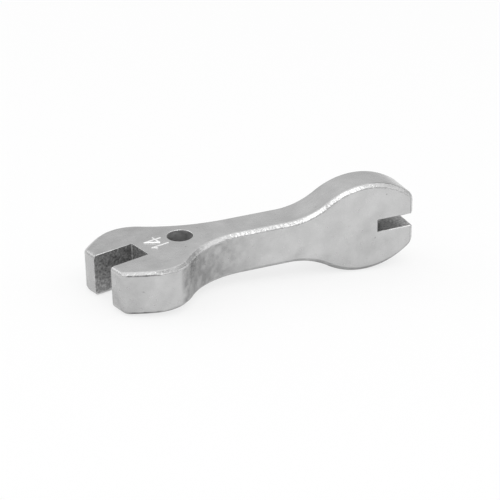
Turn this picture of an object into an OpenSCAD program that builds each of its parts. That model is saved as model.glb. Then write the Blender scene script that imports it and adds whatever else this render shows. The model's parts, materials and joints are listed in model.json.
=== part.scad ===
// Spoke wrench: a double-ended key, forged in one piece and plated.
// The wide head lies flat and is turned a little in plan. The narrow head stands on edge.
// X runs along the handle, Z up. The origin is on the ring hole's axis, where the wide
// slot's centre line crosses the handle's, at half the wide head's thickness.
// Both heads are drawn alike, from arcs whose rims are broken as cones, and run through necks
// into one bar. The forging is held as three solids that meet face to face where the necks end.

/* [Handle] */
// Width of the handle bar in plan: also the thickness of the narrow head
handle_w = 4.7; // [4:0.05:5.5]
// Height of the handle bar: also the thickness of the wide head
handle_h = 5.2; // [4.4:0.05:6]
// Distance from the ring hole's axis to the narrow head's tips
reach = 28.7; // [27:0.1:40]
// Broken edge round the outside, as a leg of the chamfer
edge_break = 0.45; // [0.2:0.05:0.7]
// Smaller broken edge round the tips of both heads
tip_break = 0.2; // [0.1:0.05:0.4]

/* [Wide head] */
// Width of the wide slot, across the flats of the spoke's nipple
wide_slot_w = 3.45; // [2.8:0.05:4.4]
// Depth of the wide slot from the jaw tips
wide_slot_depth = 5.05; // [4:0.05:6.2]
// Width over both shoulders of the wide head
wide_head_w = 13; // [12:0.1:15]
// Width over both jaw tips of the wide head
wide_tip_w = 7.8; // [7:0.1:9]
// Distance from the jaw tips to the ring hole's axis
wide_tip_dist = 10.45; // [9.6:0.05:12]
// Distance from the jaw tips to the widest place of the wide head
wide_crown_dist = 5.3; // [5:0.05:5.8]
// Radius of the wide head's shoulders
wide_shoulder_r = 4.7; // [4.4:0.1:5.6]
// Radius of the slightly bulged flanks between the tips and the shoulders
wide_flank_r = 19; // [16:0.5:40]
// Angle of the wide head to the handle in plan, in degrees
wide_turn = 14; // [10:1:18]
// Radius of the neck on the side that the head is turned away from
far_neck_r = 20.5; // [14:0.5:24]
// Radius of the neck on the side that the head is turned towards
near_neck_r = 9.6; // [7:0.1:12]
// Diameter of the ring hole
ring_hole_d = 3; // [2.2:0.1:3.8]

/* [Narrow head] */
// Width of the narrow slot, across the blade of a flat spoke
narrow_slot_w = 1.5; // [1:0.05:2.2]
// Depth of the narrow slot from the tips
narrow_slot_depth = 4.75; // [3.5:0.05:6]
// Height over the crown of the narrow head
narrow_head_h = 11; // [9.6:0.1:12.5]
// Distance from the tips to the highest place of the narrow head
narrow_crown_dist = 6.2; // [5.6:0.05:6.6]
// Radius of the narrow head's crown
narrow_crown_r = 9.05; // [8.6:0.05:10.5]
// Radius of the narrow head's necks
narrow_neck_r = 9.3; // [8:0.1:11]

/* [Hidden] */
$fn = 180;
steel = [0.71, 0.71, 0.7];
// How far a cut runs past the solid that it opens
overrun = 1;
// How far two arcs that run into each other overlap, so that they cross and don't only touch
blend_lap = 0.01;
// Where the wedge of a neck starts, from the centre of the arc that it leaves
wedge_share = 0.75;

function turned(p, angle) = [p.x*cos(angle) - p.y*sin(angle), p.x*sin(angle) + p.y*cos(angle)];
function mirrored(p) = [p.x, -p.y];
function toward(a, b, dist) = a + (b - a)*dist/norm(b - a);

// A symmetric outline, given its upper edge from left to right
function closed(upper) =
    concat([for (p = upper) mirrored(p)], [for (i = [len(upper) - 1:-1:0]) upper[i]]);

// Centre of an arc of radius r_n that runs from a circle at c into a level edge above the axis
function neck_center(c, r_c, r_n, edge) =
    let (y = edge + r_n - blend_lap)
    [c.x + sqrt(pow(r_c + r_n - blend_lap, 2) - pow(y - c.y, 2)), y];

// Wide head with the slot's centre line as X and the ring hole's axis as origin
wide_tip = [-wide_tip_dist, wide_tip_w/2];
shoulder = [wide_crown_dist - wide_tip_dist, wide_head_w/2 - wide_shoulder_r];
// The flank's circle passes through the tip's corner and holds the shoulder's circle inside it
flank_reach = wide_flank_r - wide_shoulder_r + blend_lap;
flank_gap = norm(shoulder - wide_tip);
flank_along = (pow(wide_flank_r, 2) - pow(flank_reach, 2) + pow(flank_gap, 2))/(2*flank_gap);
flank_aside = sqrt(pow(wide_flank_r, 2) - pow(flank_along, 2));
flank_dir = (shoulder - wide_tip)/flank_gap;
flank = wide_tip + flank_dir*flank_along + [flank_dir.y, -flank_dir.x]*flank_aside;

// The turned head's shoulders and the necks that run from them, each drawn above the handle's axis
far_shoulder = turned(shoulder, wide_turn);
near_shoulder = turned(shoulder, -wide_turn);
far_neck = neck_center(far_shoulder, wide_shoulder_r, far_neck_r, handle_w/2);
near_neck = neck_center(near_shoulder, wide_shoulder_r, near_neck_r, handle_w/2);

// Narrow head from the side, with the distance from its tips as X
crown = [narrow_crown_dist, narrow_head_h/2 - narrow_crown_r];
narrow_tip = [0, crown.y + sqrt(pow(narrow_crown_r, 2) - pow(narrow_crown_dist, 2))];
narrow_neck = neck_center(crown, narrow_crown_r, narrow_neck_r, handle_h/2);

// The handle runs between the places where the necks have run out into the bar
handle_start = max(far_neck.x, near_neck.x);
handle_end = reach - narrow_neck.x;

// Disc with both rims broken. A negative break flares the rims out, to cut a neck.
module disc(r, half, rim) {
    rotate_extrude() polygon([[0, -half], [r - rim, -half], [r, abs(rim) - half],
                              [r, half - abs(rim)], [r - rim, half], [0, half]]);
}

// Upper half of a neck: a wedge between the arc at c and the bar, hollowed by the neck's own arc
module neck(c, r_c, n, r_n, half) {
    start = toward(c, n, wedge_share*r_c);
    end = [n.x, 0];
    past = r_n - overrun;
    difference() {
        linear_extrude(2*half, center = true)
            polygon([[start.x, 0], end, toward(n, end, past), toward(n, c, past), start]);
        translate(n) disc(r_n, half + overrun, -edge_break - overrun);
    }
}

// Front of a head between two arcs, turned by an angle, with its tip's edges broken. The arc of centre
// c starts at the tip's corner, and rest is the upper edge of the block that bounds the front behind it.
module front(c, r, tip, half, rest, angle) {
    corner = tip + [tip.y - c.y, c.x - tip.x]*tip_break/r;
    upper = concat([[tip.x, tip.y - tip_break], corner, [corner.x, rest[0].y]], rest);
    past = half + overrun;
    slope = [[-overrun, half - tip_break - overrun], [tip_break + overrun, past], [2*r, past]];
    intersection() {
        translate(turned(c, angle)) disc(r, half, edge_break);
        translate(turned(mirrored(c), angle)) disc(r, half, edge_break);
        linear_extrude(2*half, center = true) polygon([for (p = closed(upper)) turned(p, angle)]);
        rotate(angle) translate([tip.x, 0]) rotate([90, 0, 0])
            linear_extrude(2*r, center = true) polygon(closed(slope));
    }
}

// Bar with broken edges between two places along the handle
module bar(from, to) {
    w = handle_w/2;
    h = handle_h/2;
    upper = [[-w, h - edge_break], [edge_break - w, h], [w - edge_break, h], [w, h - edge_break]];
    translate([from, 0]) rotate([90, 0, 90]) linear_extrude(to - from) polygon(closed(upper));
}

module wide_head() {
    half = handle_h/2;
    color(steel) difference() {
        union() {
            front(flank, wide_flank_r, wide_tip, half,
                  [for (past = [overrun, -overrun]) toward(flank, shoulder, wide_flank_r + past)], wide_turn);
            for (p = [far_shoulder, mirrored(near_shoulder)])
                translate(p) disc(wide_shoulder_r, half, edge_break);
            neck(far_shoulder, wide_shoulder_r, far_neck, far_neck_r, half);
            rotate([180, 0, 0]) neck(near_shoulder, wide_shoulder_r, near_neck, near_neck_r, half);
            bar(0, handle_start);
        }
        rotate(wide_turn) translate([-wide_tip_dist - overrun, -wide_slot_w/2, -handle_h])
            cube([wide_slot_depth + overrun, wide_slot_w, 2*handle_h]);
        cylinder(h = 2*handle_h, d = ring_hole_d, center = true);
    }
}

module handle() {
    color(steel) bar(handle_start, handle_end);
}

module narrow_head() {
    half = handle_w/2;
    color(steel) difference() {
        union() {
            translate([reach, 0]) rotate([90, 0, 180]) {
                front(crown, narrow_crown_r, narrow_tip, half, [[2*narrow_crown_dist, narrow_head_h]], 0);
                for (tilt = [0, 180])
                    rotate([tilt, 0, 0]) neck(crown, narrow_crown_r, narrow_neck, narrow_neck_r, half);
            }
            bar(handle_end, reach - narrow_crown_dist);
        }
        translate([reach - narrow_slot_depth, -handle_w, -narrow_slot_w/2])
            cube([narrow_slot_depth + overrun, 2*handle_w, narrow_slot_w]);
    }
}

wide_head();
handle();
narrow_head();
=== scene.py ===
import json
import math

import bpy
import numpy as np
from mathutils import Matrix, Vector


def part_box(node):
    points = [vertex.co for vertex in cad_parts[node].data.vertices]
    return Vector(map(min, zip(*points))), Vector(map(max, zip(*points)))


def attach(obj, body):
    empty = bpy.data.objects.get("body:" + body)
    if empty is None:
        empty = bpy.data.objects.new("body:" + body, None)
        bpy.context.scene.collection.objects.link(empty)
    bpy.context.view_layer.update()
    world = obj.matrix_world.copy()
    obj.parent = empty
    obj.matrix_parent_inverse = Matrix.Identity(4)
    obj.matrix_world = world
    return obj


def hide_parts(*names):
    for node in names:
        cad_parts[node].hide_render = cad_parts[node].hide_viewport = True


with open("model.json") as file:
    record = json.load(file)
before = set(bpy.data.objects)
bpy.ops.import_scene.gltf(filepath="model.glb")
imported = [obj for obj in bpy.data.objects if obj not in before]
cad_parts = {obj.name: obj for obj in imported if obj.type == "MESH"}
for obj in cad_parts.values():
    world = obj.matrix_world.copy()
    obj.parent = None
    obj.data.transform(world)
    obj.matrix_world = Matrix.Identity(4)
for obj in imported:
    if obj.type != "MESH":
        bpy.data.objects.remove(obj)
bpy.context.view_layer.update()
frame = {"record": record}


# Forging
# The key is one piece of steel, struck hot in a die: a flat head, a short bar and a head on edge.
# Trimming and tumbling broke all its outer edges, flatter on the jaws, and rounded the wide tips. So
# one skin runs from tip to tip: four corner curves, each wrapped by the broken edge.
MM = 0.001
bar_start, bar_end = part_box("handle")
half_w, half_h = bar_end.y, bar_end.z
reach, crown_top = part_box("narrow_head")[1].x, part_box("narrow_head")[1].z
mounts = {mount["name"]: mount for mount in frame["record"]["mounts"]}
wide_slot, narrow_slot = mounts["wide_slot"], mounts["narrow_slot"]
wide_slot_depth = wide_slot["dims"]["length_mm"]*MM
turn = math.atan2(-wide_slot["axis"][1], -wide_slot["axis"][0])
wide_tip_dist = math.hypot(*wide_slot["pos_m"][:2]) + wide_slot_depth
wide_head_w, wide_tip_w, wide_crown_dist = 13.0*MM, 7.8*MM, 5.3*MM
shoulder_r, flank_r, far_neck_r, near_neck_r = 4.7*MM, 19.0*MM, 20.5*MM, 9.6*MM
crown_dist, crown_r, narrow_neck_r = 6.2*MM, 9.05*MM, 9.3*MM
shoulder_turn = math.radians(23)
edge_leg, edge_round = 0.42*MM, 0.3*MM
jaw_flat_share, jaw_flat_end, jaw_flat_run = 0.68, -4.8*MM, 2.7*MM
wide_tip_leg, wide_tip_round = 0.24*MM, 0.36*MM
wide_tip_over_r, wide_tip_under_r = 0.5*MM, 0.8*MM
narrow_tip_leg, narrow_tip_round, narrow_tip_drop_share = 0.45*MM, 0.25*MM, 0.3
most_leg_loss = 0.22*MM
edge_steps, edge_hold, tip_hold = 5, 0.14*MM, 0.06*MM
station_step, outline_step = 0.2*MM, 0.02*MM


def turned(p, angle):
    """A plan point turned about the ring hole's axis."""
    return np.array([p[0]*math.cos(angle) - p[1]*math.sin(angle),
                     p[0]*math.sin(angle) + p[1]*math.cos(angle)])


def arc(centre, start, end, outward):
    """Points and unit normals along a circular arc about a centre, at even angles from one point to
    another. The normal is the radius, or its opposite where the arc is hollow (outward is -1)."""
    r = np.hypot(*(start - centre))
    angles = [math.atan2(*(p - centre)[::-1]) for p in (start, end)]
    steps = 2 + int(r*abs(angles[1] - angles[0])/outline_step)
    angle = np.linspace(*angles, steps)
    ray = np.column_stack([np.cos(angle), np.sin(angle)])
    return centre + r*ray, outward*ray


def plan_side(angle, neck_r):
    """One side of the plan, drawn above the bar's axis, as points, normals and stations: the flank's
    bulge from the jaw tip, the round shoulder, the hollow neck and the straight bar. A station is the
    distance along the turned head at the tips, along the bar past the neck, and between them a blend.
    The places along the bar where the shoulder has made its turn and where the neck ends come last."""
    tip = np.array([-wide_tip_dist, wide_tip_w/2])
    shoulder = np.array([wide_crown_dist - wide_tip_dist, wide_head_w/2 - shoulder_r])
    gap = np.hypot(*(shoulder - tip))
    along = (flank_r**2 - (flank_r - shoulder_r)**2 + gap**2)/(2*gap)
    way = (shoulder - tip)/gap
    flank = tip + way*along + np.array([way[1], -way[0]])*math.sqrt(flank_r**2 - along**2)
    tip, shoulder, flank = (turned(p, angle) for p in (tip, shoulder, flank))
    rise = half_w + neck_r - shoulder[1]
    neck = shoulder + np.array([math.sqrt((shoulder_r + neck_r)**2 - rise**2), rise])
    flank_end = flank + (shoulder - flank)*flank_r/(flank_r - shoulder_r)
    shoulder_end = shoulder + (neck - shoulder)*shoulder_r/(shoulder_r + neck_r)
    bar = np.array([[neck[0], half_w], [reach, half_w]])
    runs = [arc(flank, tip, flank_end, 1), arc(shoulder, flank_end, shoulder_end, 1),
            arc(neck, shoulder_end, bar[0], -1), (bar[1:], np.array([[0.0, 1.0]]))]
    points, normals = (np.vstack(part) for part in zip(*runs))
    share = np.clip((bar_start.x - points[:, 0])/(bar_start.x - shoulder[0]), 0, 1)
    share = share*share*(3 - 2*share)
    turned_x = points @ turned([1, 0], angle)
    hollow = shoulder[0] + shoulder_r*math.sin(shoulder_turn), neck[0]
    return points, normals, points[:, 0] + share*(turned_x - points[:, 0]), hollow


def side_profile(x):
    """Half height of the forging at places along the bar, and the upward part of its outward normal:
    level up to the bar's end, then the hollow neck's arc, then the narrow head's crown arc to the tips."""
    crown = np.array([reach - crown_dist, crown_top - crown_r])
    rise = half_h + narrow_neck_r - crown[1]
    neck = crown + np.array([-math.sqrt((crown_r + narrow_neck_r)**2 - rise**2), rise])
    meet = neck[0] + (crown[0] - neck[0])*narrow_neck_r/(crown_r + narrow_neck_r)
    in_neck = np.clip(x - neck[0], 0, meet - neck[0])
    in_crown = np.clip(x, meet, reach) - crown[0]
    neck_rise = np.sqrt(1 - (in_neck/narrow_neck_r)**2)
    crown_rise = np.sqrt(1 - (in_crown/crown_r)**2)
    height = np.where(x > meet, crown[1] + crown_r*crown_rise, neck[1] - narrow_neck_r*neck_rise)
    return height, np.where(x > meet, crown_rise, neck_rise)


def broken_edge(leg, radius, hold):
    """Section of a broken edge: its inward distances from the first and from the second of two faces.
    It leaves the first face in an arc of 45 degrees, runs straight across the break and joins the
    second face in a like arc. A holding point on each face keeps the faces beside it flat."""
    lead = leg + radius*math.tan(math.pi/8)
    bend = np.linspace(0, math.pi/4, edge_steps + 1)
    near, deep = radius*(1 - np.cos(bend)), lead - radius*np.sin(bend)
    from_first = np.concatenate([[0], near, deep[::-1], [lead + hold]])
    return from_first, from_first[::-1]


def tip_fall(behind, radius):
    """Fall of a level face towards a tip whose edge is a quarter round, by distance behind the tip."""
    return radius - np.sqrt(radius**2 - np.clip(radius - behind, 0, radius)**2)


def mesh_piece(name, points, loops, material):
    """A mesh object at the origin from an array of points and lists of point numbers for its faces."""
    mesh = bpy.data.meshes.new(name)
    mesh.from_pydata(points.reshape(-1, 3).tolist(), [], loops)
    mesh.materials.append(material)
    piece = bpy.data.objects.new(name, mesh)
    bpy.context.scene.collection.objects.link(piece)
    return piece


def ring_faces(rings, count, offset=0):
    """Faces of a closed tube of rings with the same count of points, numbered from an offset: a quad
    between each pair of neighbours on two rings, and one flat face over each end."""
    at = offset + np.arange(rings*count).reshape(rings, count)
    ahead = np.roll(at, -1, axis=1)
    quads = np.stack([at[:-1], ahead[:-1], ahead[1:], at[1:]], axis=-1).reshape(-1, 4)
    return quads.tolist() + [at[0, ::-1].tolist(), at[-1].tolist()]


# Stations from tip to tip, closer together where the tips' own edges are broken
wide_inset, wide_behind = broken_edge(wide_tip_leg, wide_tip_round, tip_hold)
narrow_inset, narrow_behind = broken_edge(narrow_tip_leg, narrow_tip_round, tip_hold)
first, last = wide_behind[0] - wide_tip_dist, reach - narrow_behind[0]
between = np.linspace(first, last, 2 + int((last - first)/station_step))[1:-1]
stations = np.concatenate([wide_behind[::-1] - wide_tip_dist, between, reach - narrow_behind])
from_wide, from_narrow = stations + wide_tip_dist, reach - stations
insets = np.concatenate([wide_inset[::-1], 0*between, narrow_inset])
narrow_fall = np.concatenate([0*wide_inset, 0*between, narrow_tip_drop_share*narrow_inset])
drops, lifts = (narrow_fall + tip_fall(from_wide, r) for r in (wide_tip_over_r, wide_tip_under_r))

# The sides at each station: a point and a normal in plan on the far side and on the near side
sides, hollows = {}, {}
for side, angle, neck_r in ((1, turn, far_neck_r), (-1, -turn, near_neck_r)):
    points, normals, station, hollows[side] = plan_side(angle, neck_r)
    sides[side] = [np.column_stack([np.interp(stations, station, column) for column in values.T])*[1, side]
                   for values in (points, normals)]
across = sides[1][0] - sides[-1][0]
across /= np.linalg.norm(across, axis=1)[:, None]

# Painted shade: the hollow necks' walls and edges are darkened from the turn of the shoulder on, the
# far ones less. The jaws' ends, the wide tip faces, the crown's break, the slope to the narrow tips and
# the edges underneath get a little painted shade, and the far part of the wide head's top is a little
# darker. Thin painted dark lines stand in for dark reflections under the edges of the jaws' flanks,
# over those of the crown, and beside the narrow tips. A mark swells and fades over four places.
shade_lead, neck_shade = {1: 4.0*MM, -1: 0.8*MM}, {1: 0.6, -1: 1.25}
shade_tail, break_ahead, break_run = 2.5*MM, 3.0*MM, 7.9*MM
wall_fade_power, break_fade_power = 2, 4
tip_face_shade, jaw_shade, far_top_darkening, slope_shade = 0.4, 0.3, 0.35, 0.4
jaw_line_shade, crown_line_shade, tip_line_shade = 1.8, 1.9, 0.9
crown_break_shade, crown_under_shade, bar_under_shade = 0.5, 0.9, 0.4
jaw_places = np.array([-1, 0, 1.5, 6])*MM
jaw_line_places = np.array([0.3, 0.7, 3.2, 3.8])*MM
crown_line_places = np.array([1.7, 3.5, 5.1, 5.9])*MM
crown_break_places = np.array([0.2, 0.8, 4.2, 5.8])*MM
tip_line_places = np.array([0.36, 0.42, 0.5, 0.56])*MM
slope_places = np.array([-1, 0, 2.5, 4.5])*MM
far_top_places = np.array([-1, 0, 9, 16])*MM
under_places = np.array([12, 16])*MM
swell = [0, 1, 1, 0]
column = np.arange(2*edge_steps + 4)
in_wall = column < 2
in_lower_round = (column > 0) & (column <= edge_steps)
in_break = (column == edge_steps + 1) | (column == edge_steps + 2)
in_upper_round = (column == 2*edge_steps) | (column == 2*edge_steps + 1)
in_top = column > 2*edge_steps + 1
in_edge = ~in_wall & ~in_top
fade_power = np.where(in_break, break_fade_power, wall_fade_power)
painted_shade_marks = ((jaw_shade, from_wide, jaw_places, in_wall),
              (jaw_line_shade, from_wide, jaw_line_places, in_lower_round),
              (crown_line_shade, from_narrow, crown_line_places, in_upper_round),
              (crown_break_shade, from_narrow, crown_break_places, in_break),
              (tip_line_shade, from_narrow, tip_line_places, in_wall),
              (slope_shade, from_narrow, slope_places, in_top))
mark_shade = sum((most*np.interp(place, places, swell)[:, None]*where
                  for most, place, places, where in painted_shade_marks), np.zeros((len(stations), len(column))))
# Painted shade on the wide tip faces.
mark_shade[0] = tip_face_shade
# Painted shade along the edges underneath, darker under the crown than under the bar.
under_shade = np.interp(from_narrow, under_places, [crown_under_shade, bar_under_shade])[:, None]*in_edge

# Four corner curves with the broken edge wrapped about them. A section's points stay in one upright
# plane: a distance from a face is taken across the key or straight down, over the slope of that face.
edge_from_side, edge_from_top = broken_edge(edge_leg, edge_round, edge_hold)
on_top = column > edge_steps + 1
leg_loss = np.minimum((insets + drops)*(1 - math.sqrt(0.5)), most_leg_loss)
from_side = edge_from_side - leg_loss[:, None]*on_top
from_top = edge_from_top - leg_loss[:, None]*~on_top
flat = np.interp(stations, [jaw_flat_end - jaw_flat_run, jaw_flat_end], [jaw_flat_share, 1])
strips = {}
for side, (points, normals) in sides.items():
    inward = -side*across
    slope = -np.sum(normals*inward, axis=1)/np.linalg.norm(normals, axis=1)
    height, rise = side_profile(points[:, 0])
    shift = insets[:, None] + from_side/slope[:, None]
    plan = points[:, None] + shift[..., None]*inward[:, None]
    start, end = hollows[side]
    past = points[:, :1] - start + break_ahead*in_break
    run = np.where(in_break, break_run, end + shade_tail - start)
    # Painted shade on the neck walls and breaks, from the shoulder's turn, fading towards the bar.
    share = neck_shade[side]*np.clip(past/shade_lead[side], 0, 1)*(1 - np.clip(past/run, 0, 1)**fade_power)
    shade = np.maximum(mark_shade, share*(in_wall | in_break))
    # On the far side, the wide head's top is made a little darker.
    if side > 0:
        top_share = np.interp(from_wide, far_top_places, swell)
        shade = np.maximum(shade, far_top_darkening*top_share[:, None]*in_top)
    for up, loss, up_shade in ((1, drops, shade), (-1, lifts, np.maximum(shade, under_shade))):
        level = (height - loss)[:, None] - from_top*(flat/rise)[:, None]
        strips[side, up] = np.concatenate([plan, up*level[..., None], up_shade[..., None]], axis=2)
skin = np.concatenate([strips[1, 1], strips[-1, 1][:, ::-1], strips[-1, -1], strips[1, -1][:, ::-1]], axis=1)
worn = np.maximum(np.tile(in_edge, len(strips)), (insets > 0)[:, None])


def give(piece, name, shares):
    """Gives every corner of a piece's faces the share of the point that it stands on."""
    corner_point = np.empty(len(piece.data.loops), int)
    piece.data.loops.foreach_get("vertex_index", corner_point)
    piece.data.attributes.new(name, "FLOAT", "CORNER").data.foreach_set("value", shares.ravel()[corner_point])


speck_size, pit_size, stain_size, patch_size = 0.4*MM, 0.7*MM, 3.5*MM, 1.1*MM
dimple_size, dent_size, grain_size = 0.5*MM, 0.3*MM, 0.12*MM
dent_depth, grain_depth = 0.07*MM, 0.003*MM
usual_range, stain_range, pit_range, patch_range = (0.3, 0.7), (0.56, 0.7), (0.745, 0.795), (0.35, 0.6)
stained_tone, pitted_tone, shaded_tone, least_patch, full_shade = 0.92, 0.7, 0.16, 0.4, 2


def plated_steel(name, tones, gloss, cloud, dimple, lines=(1, 1, 1)):
    """Satin plating on steel, between two tones of grey and two roughnesses. Clouds of thicker and thinner
    plate vary the tone, specks vary the gloss, and a few pits are darker. A point's painted shade share
    darkens it in patches of painted shade. Dimples and a fine grain, which cutter lines can stretch, are
    raised on it, and small dents where its worn share says that an edge was knocked about."""
    material = bpy.data.materials.new(name)
    material.use_nodes = True
    nodes, link = material.node_tree.nodes, material.node_tree.links.new
    shader = nodes["Principled BSDF"]
    shader.inputs["Metallic"].default_value = 1.0
    place = nodes.new("ShaderNodeTexCoord").outputs["Object"]

    def given(share):
        attribute = nodes.new("ShaderNodeAttribute")
        attribute.attribute_name = share
        return attribute.outputs["Fac"]

    def noise(size, detail, stretch=(1, 1, 1)):
        mapping, texture = nodes.new("ShaderNodeMapping"), nodes.new("ShaderNodeTexNoise")
        mapping.inputs["Scale"].default_value = stretch
        texture.inputs["Scale"].default_value = 1/size
        texture.inputs["Detail"].default_value = detail
        link(place, mapping.inputs["Vector"])
        link(mapping.outputs["Vector"], texture.inputs["Vector"])
        return texture.outputs["Fac"]

    def spread(value, low, high, to_low, to_high):
        ramp = nodes.new("ShaderNodeMapRange")
        for socket, number in zip(("From Min", "From Max", "To Min", "To Max"), (low, high, to_low, to_high)):
            ramp.inputs[socket].default_value = number
        link(value, ramp.inputs["Value"])
        return ramp.outputs["Result"]

    def times(first, second):
        product = nodes.new("ShaderNodeMath")
        product.operation = "MULTIPLY"
        link(first, product.inputs[0])
        link(second, product.inputs[1])
        return product.outputs["Value"]

    def raised(value, height, below=None):
        bump = nodes.new("ShaderNodeBump")
        bump.inputs["Distance"].default_value = height
        link(value, bump.inputs["Height"])
        if below:
            link(below, bump.inputs["Normal"])
        return bump.outputs["Normal"]

    clouds = spread(noise(cloud, 6), *usual_range, *tones)
    specks = spread(noise(speck_size, 3), *usual_range, *gloss)
    pits = spread(noise(pit_size, 2), *pit_range, 1, pitted_tone)
    stains = spread(noise(stain_size, 4), *stain_range, 1, stained_tone)
    # Painted shade: the point's painted shade share, broken into patches, darkens the base colour.
    shade_patches = times(given("painted_shade"), spread(noise(patch_size, 3), *patch_range, least_patch, 1))
    plate = times(times(clouds, pits), stains)
    link(times(plate, spread(shade_patches, 0, full_shade, 1, shaded_tone)), shader.inputs["Base Color"])
    link(specks, shader.inputs["Roughness"])
    dimples = raised(noise(dimple_size, 1), dimple)
    dents = raised(times(given("worn"), spread(noise(dent_size, 3), 0, 1, -0.5, 0.5)), dent_depth, dimples)
    link(raised(noise(grain_size, 2, lines), grain_depth, dents), shader.inputs["Normal"])
    return material


skin_finish = plated_steel("plated_skin", tones=(0.49, 0.58), gloss=(0.2, 0.28), cloud=2.4*MM,
                           dimple=0.03*MM)
key = mesh_piece("spoke_key", skin[..., :3], ring_faces(*skin.shape[:2]), skin_finish)
give(key, "painted_shade", skin[..., 3])
give(key, "worn", worn.astype(float))


# Slots and ring hole
# Both slots are cut through the forged jaws with a square cutter, and the ring hole is drilled. Their
# rims are eased, most under the wide slot's far wall, and rubbed bright with a lighter plate that is
# partly a painted highlight. The slots' inner corners keep a small round, the mouths flare, and plating
# covers the walls, with painted shade that grows deeper in from the mouth.
wide_slot_w, narrow_slot_w = 3.45*MM, 1.5*MM
narrow_slot_depth = narrow_slot["dims"]["length_mm"]*MM
ring_hole_r = mounts["ring_hole"]["dims"]["r_mm"]*MM
rim_wall, rim_end, rim_hole = 0.07*MM, 0.012*MM, 0.025*MM
rim_under_far, rim_under_near = 0.45*MM, 0.08*MM
wide_mouth, narrow_mouth = 0.03*MM, 0.3*MM
# Painted shade on the slot walls, at its most at the slot's end.
wide_slot_shade, narrow_slot_shade = 0.6, 1.5
wide_corner_r, narrow_corner_r = 0.18*MM, 0.06*MM
corner_steps, hole_steps = 6, 96
sharp_angle = math.radians(30)
overrun = 0.5*MM
cut_finish = plated_steel("plated_cut", tones=(0.22, 0.66), gloss=(0.45, 0.6), cloud=0.25*MM,
                          dimple=0.05*MM, lines=(1, 1, 0.15))
bore_finish = plated_steel("plated_bore", tones=(0.38, 0.57), gloss=(0.55, 0.65), cloud=0.8*MM,
                           dimple=0.05*MM)
# The rubbed plate on rims, flares and the size mark is lighter: worn bright, and partly a painted highlight.
rubbed_sheen_finish = plated_steel("plated_rubbed_sheen", tones=(0.72, 0.82), gloss=(0.18, 0.26), cloud=2.4*MM,
                             dimple=0.01*MM)


def slot_outline(width, depth, mouth, corner_r):
    """Closed outline of a slot and its outward normals, from the tips inward: the mouth flares at 45
    degrees, the walls are straight, and a quarter round joins each of them to the end wall."""
    half = width/2
    bend = np.linspace(0, math.pi/2, corner_steps + 1)
    ray = np.column_stack([np.sin(bend), -np.cos(bend)])
    lower = np.vstack([[[-overrun, -half - mouth - overrun], [mouth, -half]],
                       [depth - corner_r, corner_r - half] + corner_r*ray])
    lower_n = np.vstack([[[0, -1], [0, -1]], ray])
    return np.vstack([lower, lower[::-1]*[1, -1]]), np.vstack([lower_n, lower_n[::-1]*[1, -1]])


def cutter(name, outline, normals, half, rims, axes, origin, finish, painted_shade=0, flares=()):
    """A solid to take away: an outline carried straight through both faces and widened at 45 degrees
    past the rim that it leaves on the lower and on the upper face, the same all round or by point.
    The rims, and the stretches of the outline that flare, get the lighter rubbed plate, partly a painted
    highlight. The deeper in from the mouth, the more painted shade on the walls."""
    lower, upper = (np.broadcast_to(rim, len(outline)) for rim in rims)
    level = np.stack([0*lower - half - overrun, lower - half, half - upper, 0*upper + half + overrun])
    widen = np.stack([lower + overrun, 0*lower, 0*upper, upper + overrun])
    flat = outline + widen[..., None]*normals
    points = origin + np.concatenate([flat, level[..., None]], axis=2) @ np.array(axes)
    tool = mesh_piece(name, points, ring_faces(*points.shape[:2]), finish)
    tool.data.materials.append(rubbed_sheen_finish)
    rubbed_sheen = np.ones((len(points) - 1, len(outline)), np.int32)
    rubbed_sheen[1] = np.isin(np.arange(len(outline)), flares)
    tool.data.polygons.foreach_set("material_index", np.append(rubbed_sheen, [0, 0]))
    # Painted shade that grows with depth from the mouth.
    give(tool, "painted_shade", np.tile(painted_shade*np.clip(outline[:, 0]/outline[:, 0].max(), 0, 1)**2, len(points)))
    return tool


slot_way, slot_side = (np.array([*turned(way, turn), 0]) for way in ([1, 0], [0, 1]))
wide_outline, wide_normals = slot_outline(wide_slot_w, wide_slot_depth, wide_mouth, wide_corner_r)
narrow_outline, narrow_normals = slot_outline(narrow_slot_w, narrow_slot_depth, narrow_mouth, narrow_corner_r)
narrow_flares = 0, len(narrow_outline) - 2
hole_angle = np.linspace(0, 2*math.pi, hole_steps, endpoint=False)
hole_ray = np.column_stack([np.cos(hole_angle), np.sin(hole_angle)])
rim_under = np.where(wide_outline[:, 1] > 0, rim_under_far, rim_under_near)
rim_over = np.where(wide_outline[:, 0] < wide_slot_depth - wide_corner_r, rim_wall, rim_end)
cutters = [
    cutter("wide_slot_cut", wide_outline, wide_normals, half_h, rims=(rim_under, rim_over),
           axes=(slot_way, slot_side, [0, 0, 1]), origin=-wide_tip_dist*slot_way, finish=cut_finish,
           painted_shade=wide_slot_shade),
    cutter("ring_hole_cut", ring_hole_r*hole_ray, hole_ray, half_h, rims=(rim_hole, rim_hole),
           axes=np.eye(3), origin=np.zeros(3), finish=bore_finish),
    cutter("narrow_slot_cut", narrow_outline, narrow_normals, half_w, rims=(rim_wall, rim_wall),
           axes=([-1, 0, 0], [0, 0, 1], [0, 1, 0]), origin=np.array([reach, 0, 0]), finish=cut_finish,
           painted_shade=narrow_slot_shade, flares=narrow_flares),
]
for tool in cutters:
    cut = key.modifiers.new(tool.name, "BOOLEAN")
    cut.operation = "DIFFERENCE"
    cut.solver = "EXACT"
    cut.material_mode = "TRANSFER"
    cut.object = tool
cut_mesh = bpy.data.meshes.new_from_object(key.evaluated_get(bpy.context.evaluated_depsgraph_get()))
key.modifiers.clear()
key.data = cut_mesh
for tool in cutters:
    bpy.data.objects.remove(tool)
key.data.shade_smooth()
key.data.set_sharp_from_angle(angle=sharp_angle)
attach(key, "root")
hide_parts("wide_head", "handle", "narrow_head")


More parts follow.
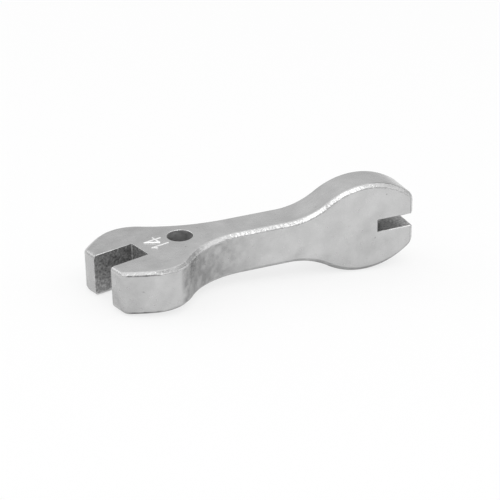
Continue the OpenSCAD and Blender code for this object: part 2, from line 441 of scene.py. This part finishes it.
# Size mark
# A plain two-digit number stands a little proud of the top face behind the wide slot. It was struck
# with the forging, so its strokes are soft ridges under the same plating, rubbed bright, their lighter
# plate partly a painted highlight.
stroke_w, stroke_rise = 0.28*MM, 0.15*MM
mark_foot, mark_left = -2.15*MM, -1.25*MM
strokes = np.array([((0.1, 1.7), (0.5, 2.1)), ((0.5, 2.1), (0.5, 0.0)), ((2.1, 0.0), (2.1, 2.1)),
                    ((2.1, 2.1), (1.2, 0.65)), ((1.2, 0.65), (2.6, 0.65))])*MM
cap_steps, round_steps = 6, 16


def ridge(start, end):
    """A straight stroke as a flattened capsule, half sunk in the face: an ellipse carried from one end
    to the other, shrunk to a point over a quarter round at each."""
    run = (end - start)/np.linalg.norm(end - start)
    side = np.array([-run[1], run[0], 0])
    bend = np.linspace(0, math.pi/2, cap_steps + 1)[1:]
    ends = np.vstack([start - stroke_w/2*np.cos(bend)[:, None]*run,
                      end + stroke_w/2*np.cos(bend[::-1])[:, None]*run])
    size = np.concatenate([np.sin(bend), np.sin(bend[::-1])])[:, None, None]
    angle = np.linspace(0, 2*math.pi, round_steps, endpoint=False)[:, None]
    ellipse = stroke_w/2*np.cos(angle)*side + stroke_rise*np.sin(angle)*np.array([0, 0, 1])
    return ends[:, None] + size*ellipse


mark_corner = mark_foot*slot_way + mark_left*slot_side + np.array([0, 0, half_h])
stroke_ends = mark_corner + strokes @ np.array([slot_side, -slot_way])
ridges = np.stack([ridge(*pair) for pair in stroke_ends])
rings, count = ridges.shape[1:3]
ridge_faces = [ring_faces(rings, count, n*rings*count) for n in range(len(ridges))]
mark = mesh_piece("size_mark", ridges, sum(ridge_faces, []), rubbed_sheen_finish)
mark.data.shade_smooth()
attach(mark, "root")


# Floor
# The key lies on a plain white board. It rests on the front of the wide head and on the narrow
# head's crown, which is taller, so the board is turned to touch both. Its own white thins the shadow.
floor_size, board_tone, board_rough, board_gloss, white_tone = 4.0, 0.92, 0.9, 0.1, 0.967
white_shares = {"Is Camera Ray": 0.78, "Is Transmission Ray": 0.78, "Is Glossy Ray": 0.3}
rest_point = np.array([-wide_tip_dist*math.cos(turn) + edge_leg, -half_h])
crown_under = np.array([reach - crown_dist, crown_r - crown_top])
span = crown_under - rest_point
tilt = math.asin(crown_r/np.hypot(*span)) - math.atan2(span[1], span[0])
board = np.array([[-1, -1], [1, -1], [1, 1], [-1, 1]])*floor_size/2
board_axes = np.array([[math.cos(tilt), 0, -math.sin(tilt)], [0, 1, 0]])
floor_points = np.array([rest_point[0], 0, rest_point[1]]) + board @ board_axes
paper = bpy.data.materials.new("white_board")
paper.use_nodes = True
nodes, link = paper.node_tree.nodes, paper.node_tree.links.new
lit = nodes["Principled BSDF"]
lit.inputs["Base Color"].default_value = (board_tone, board_tone, board_tone, 1)
lit.inputs["Roughness"].default_value = board_rough
lit.inputs["Specular IOR Level"].default_value = board_gloss
rays, mixed = nodes.new("ShaderNodeLightPath"), nodes.new("ShaderNodeMixShader")
veil = mixed.inputs["Fac"]
for ray_kind, share in white_shares.items():
    part = nodes.new("ShaderNodeMath")
    part.operation = "MULTIPLY_ADD"
    part.inputs[1].default_value = share
    part.inputs[2].default_value = 0
    link(rays.outputs[ray_kind], part.inputs[0])
    link(part.outputs["Value"], veil)
    veil = part.inputs[2]
white = nodes.new("ShaderNodeEmission")
white.inputs["Color"].default_value = (white_tone, white_tone, white_tone, 1)
link(lit.outputs["BSDF"], mixed.inputs[1])
link(white.outputs["Emission"], mixed.inputs[2])
link(mixed.outputs["Shader"], nodes["Material Output"].inputs["Surface"])
mesh_piece("floor", floor_points, [[0, 1, 2, 3]], paper)


# Studio
# A pale room, lighter overhead than at eye level, with soft lamps above the front, the left and the
# right of the key. The camera stands where the photograph was taken from.
room_tones = (0.3, 0.74), (0.8, 1.0), (1.0, 1.35)
world = bpy.data.worlds.new("studio")
bpy.context.scene.world = world
world.use_nodes = True
nodes, link = world.node_tree.nodes, world.node_tree.links.new
look = nodes.new("ShaderNodeTexCoord").outputs["Generated"]
split = nodes.new("ShaderNodeSeparateXYZ")
link(look, split.inputs["Vector"])
height_ramp = nodes.new("ShaderNodeValToRGB")
link(split.outputs["Z"], height_ramp.inputs["Fac"])
stops = height_ramp.color_ramp.elements
for stop, (height, tone) in zip(stops, room_tones):
    stop.position = height
    stop.color = (tone, tone, tone, 1)
top_height, top_tone = room_tones[-1]
stops.new(top_height).color = (top_tone, top_tone, top_tone, 1)
link(height_ramp.outputs["Color"], nodes["Background"].inputs["Color"])

middle = Vector((reach/2 - wide_tip_dist/2, 0, 0))
lamps = {"front_lamp": ((0.0, -0.56, 0.82), 0.3, 0.12, 0.21),
         "left_lamp": ((-0.7, 0.36, 0.56), 0.34, 0.16, 0.15),
         "right_lamp": ((0.83, -0.25, 0.5), 0.2, 0.3, 0.11)}
lamp_away = 0.36
for name, (way, length, width, energy) in lamps.items():
    lamp = bpy.data.lights.new(name, "AREA")
    lamp.shape = "RECTANGLE"
    lamp.size, lamp.size_y, lamp.energy = length, width, energy
    lamp_piece = bpy.data.objects.new(name, lamp)
    lamp_way = Vector(way).normalized()
    lamp_piece.location = middle + lamp_away*lamp_way
    lamp_piece.rotation_euler = lamp_way.to_track_quat("Z", "Y").to_euler()
    bpy.context.scene.collection.objects.link(lamp_piece)

azimuth, elevation, roll = (math.radians(a) for a in (22.341, 26.243, -1.140))
aim, away, aside, below = Vector((13.32*MM, 0, 0)), 206.31*MM, 4.384*MM, 1.699*MM
sensor_w, focal_px, frame_px = 36.0, 1767.99, 500
back = Vector((-math.sin(azimuth)*math.cos(elevation), -math.cos(azimuth)*math.cos(elevation),
               math.sin(elevation)))
right = Vector((math.cos(azimuth), -math.sin(azimuth), 0))
up = back.cross(right)
lens = bpy.data.cameras.new("camera")
lens.sensor_width, lens.lens = sensor_w, sensor_w*focal_px/frame_px
lens.clip_start = 0.01
camera = bpy.data.objects.new("camera", lens)
stand = aim + away*back - aside*right - below*up
rolled_right = right*math.cos(roll) + up*math.sin(roll)
rolled_up = up*math.cos(roll) - right*math.sin(roll)
facing = Matrix((rolled_right, rolled_up, back)).transposed().to_4x4()
camera.matrix_world = Matrix.Translation(stand) @ facing
bpy.context.scene.collection.objects.link(camera)
bpy.context.scene.camera = camera
bpy.context.scene.view_settings.view_transform = "Standard"
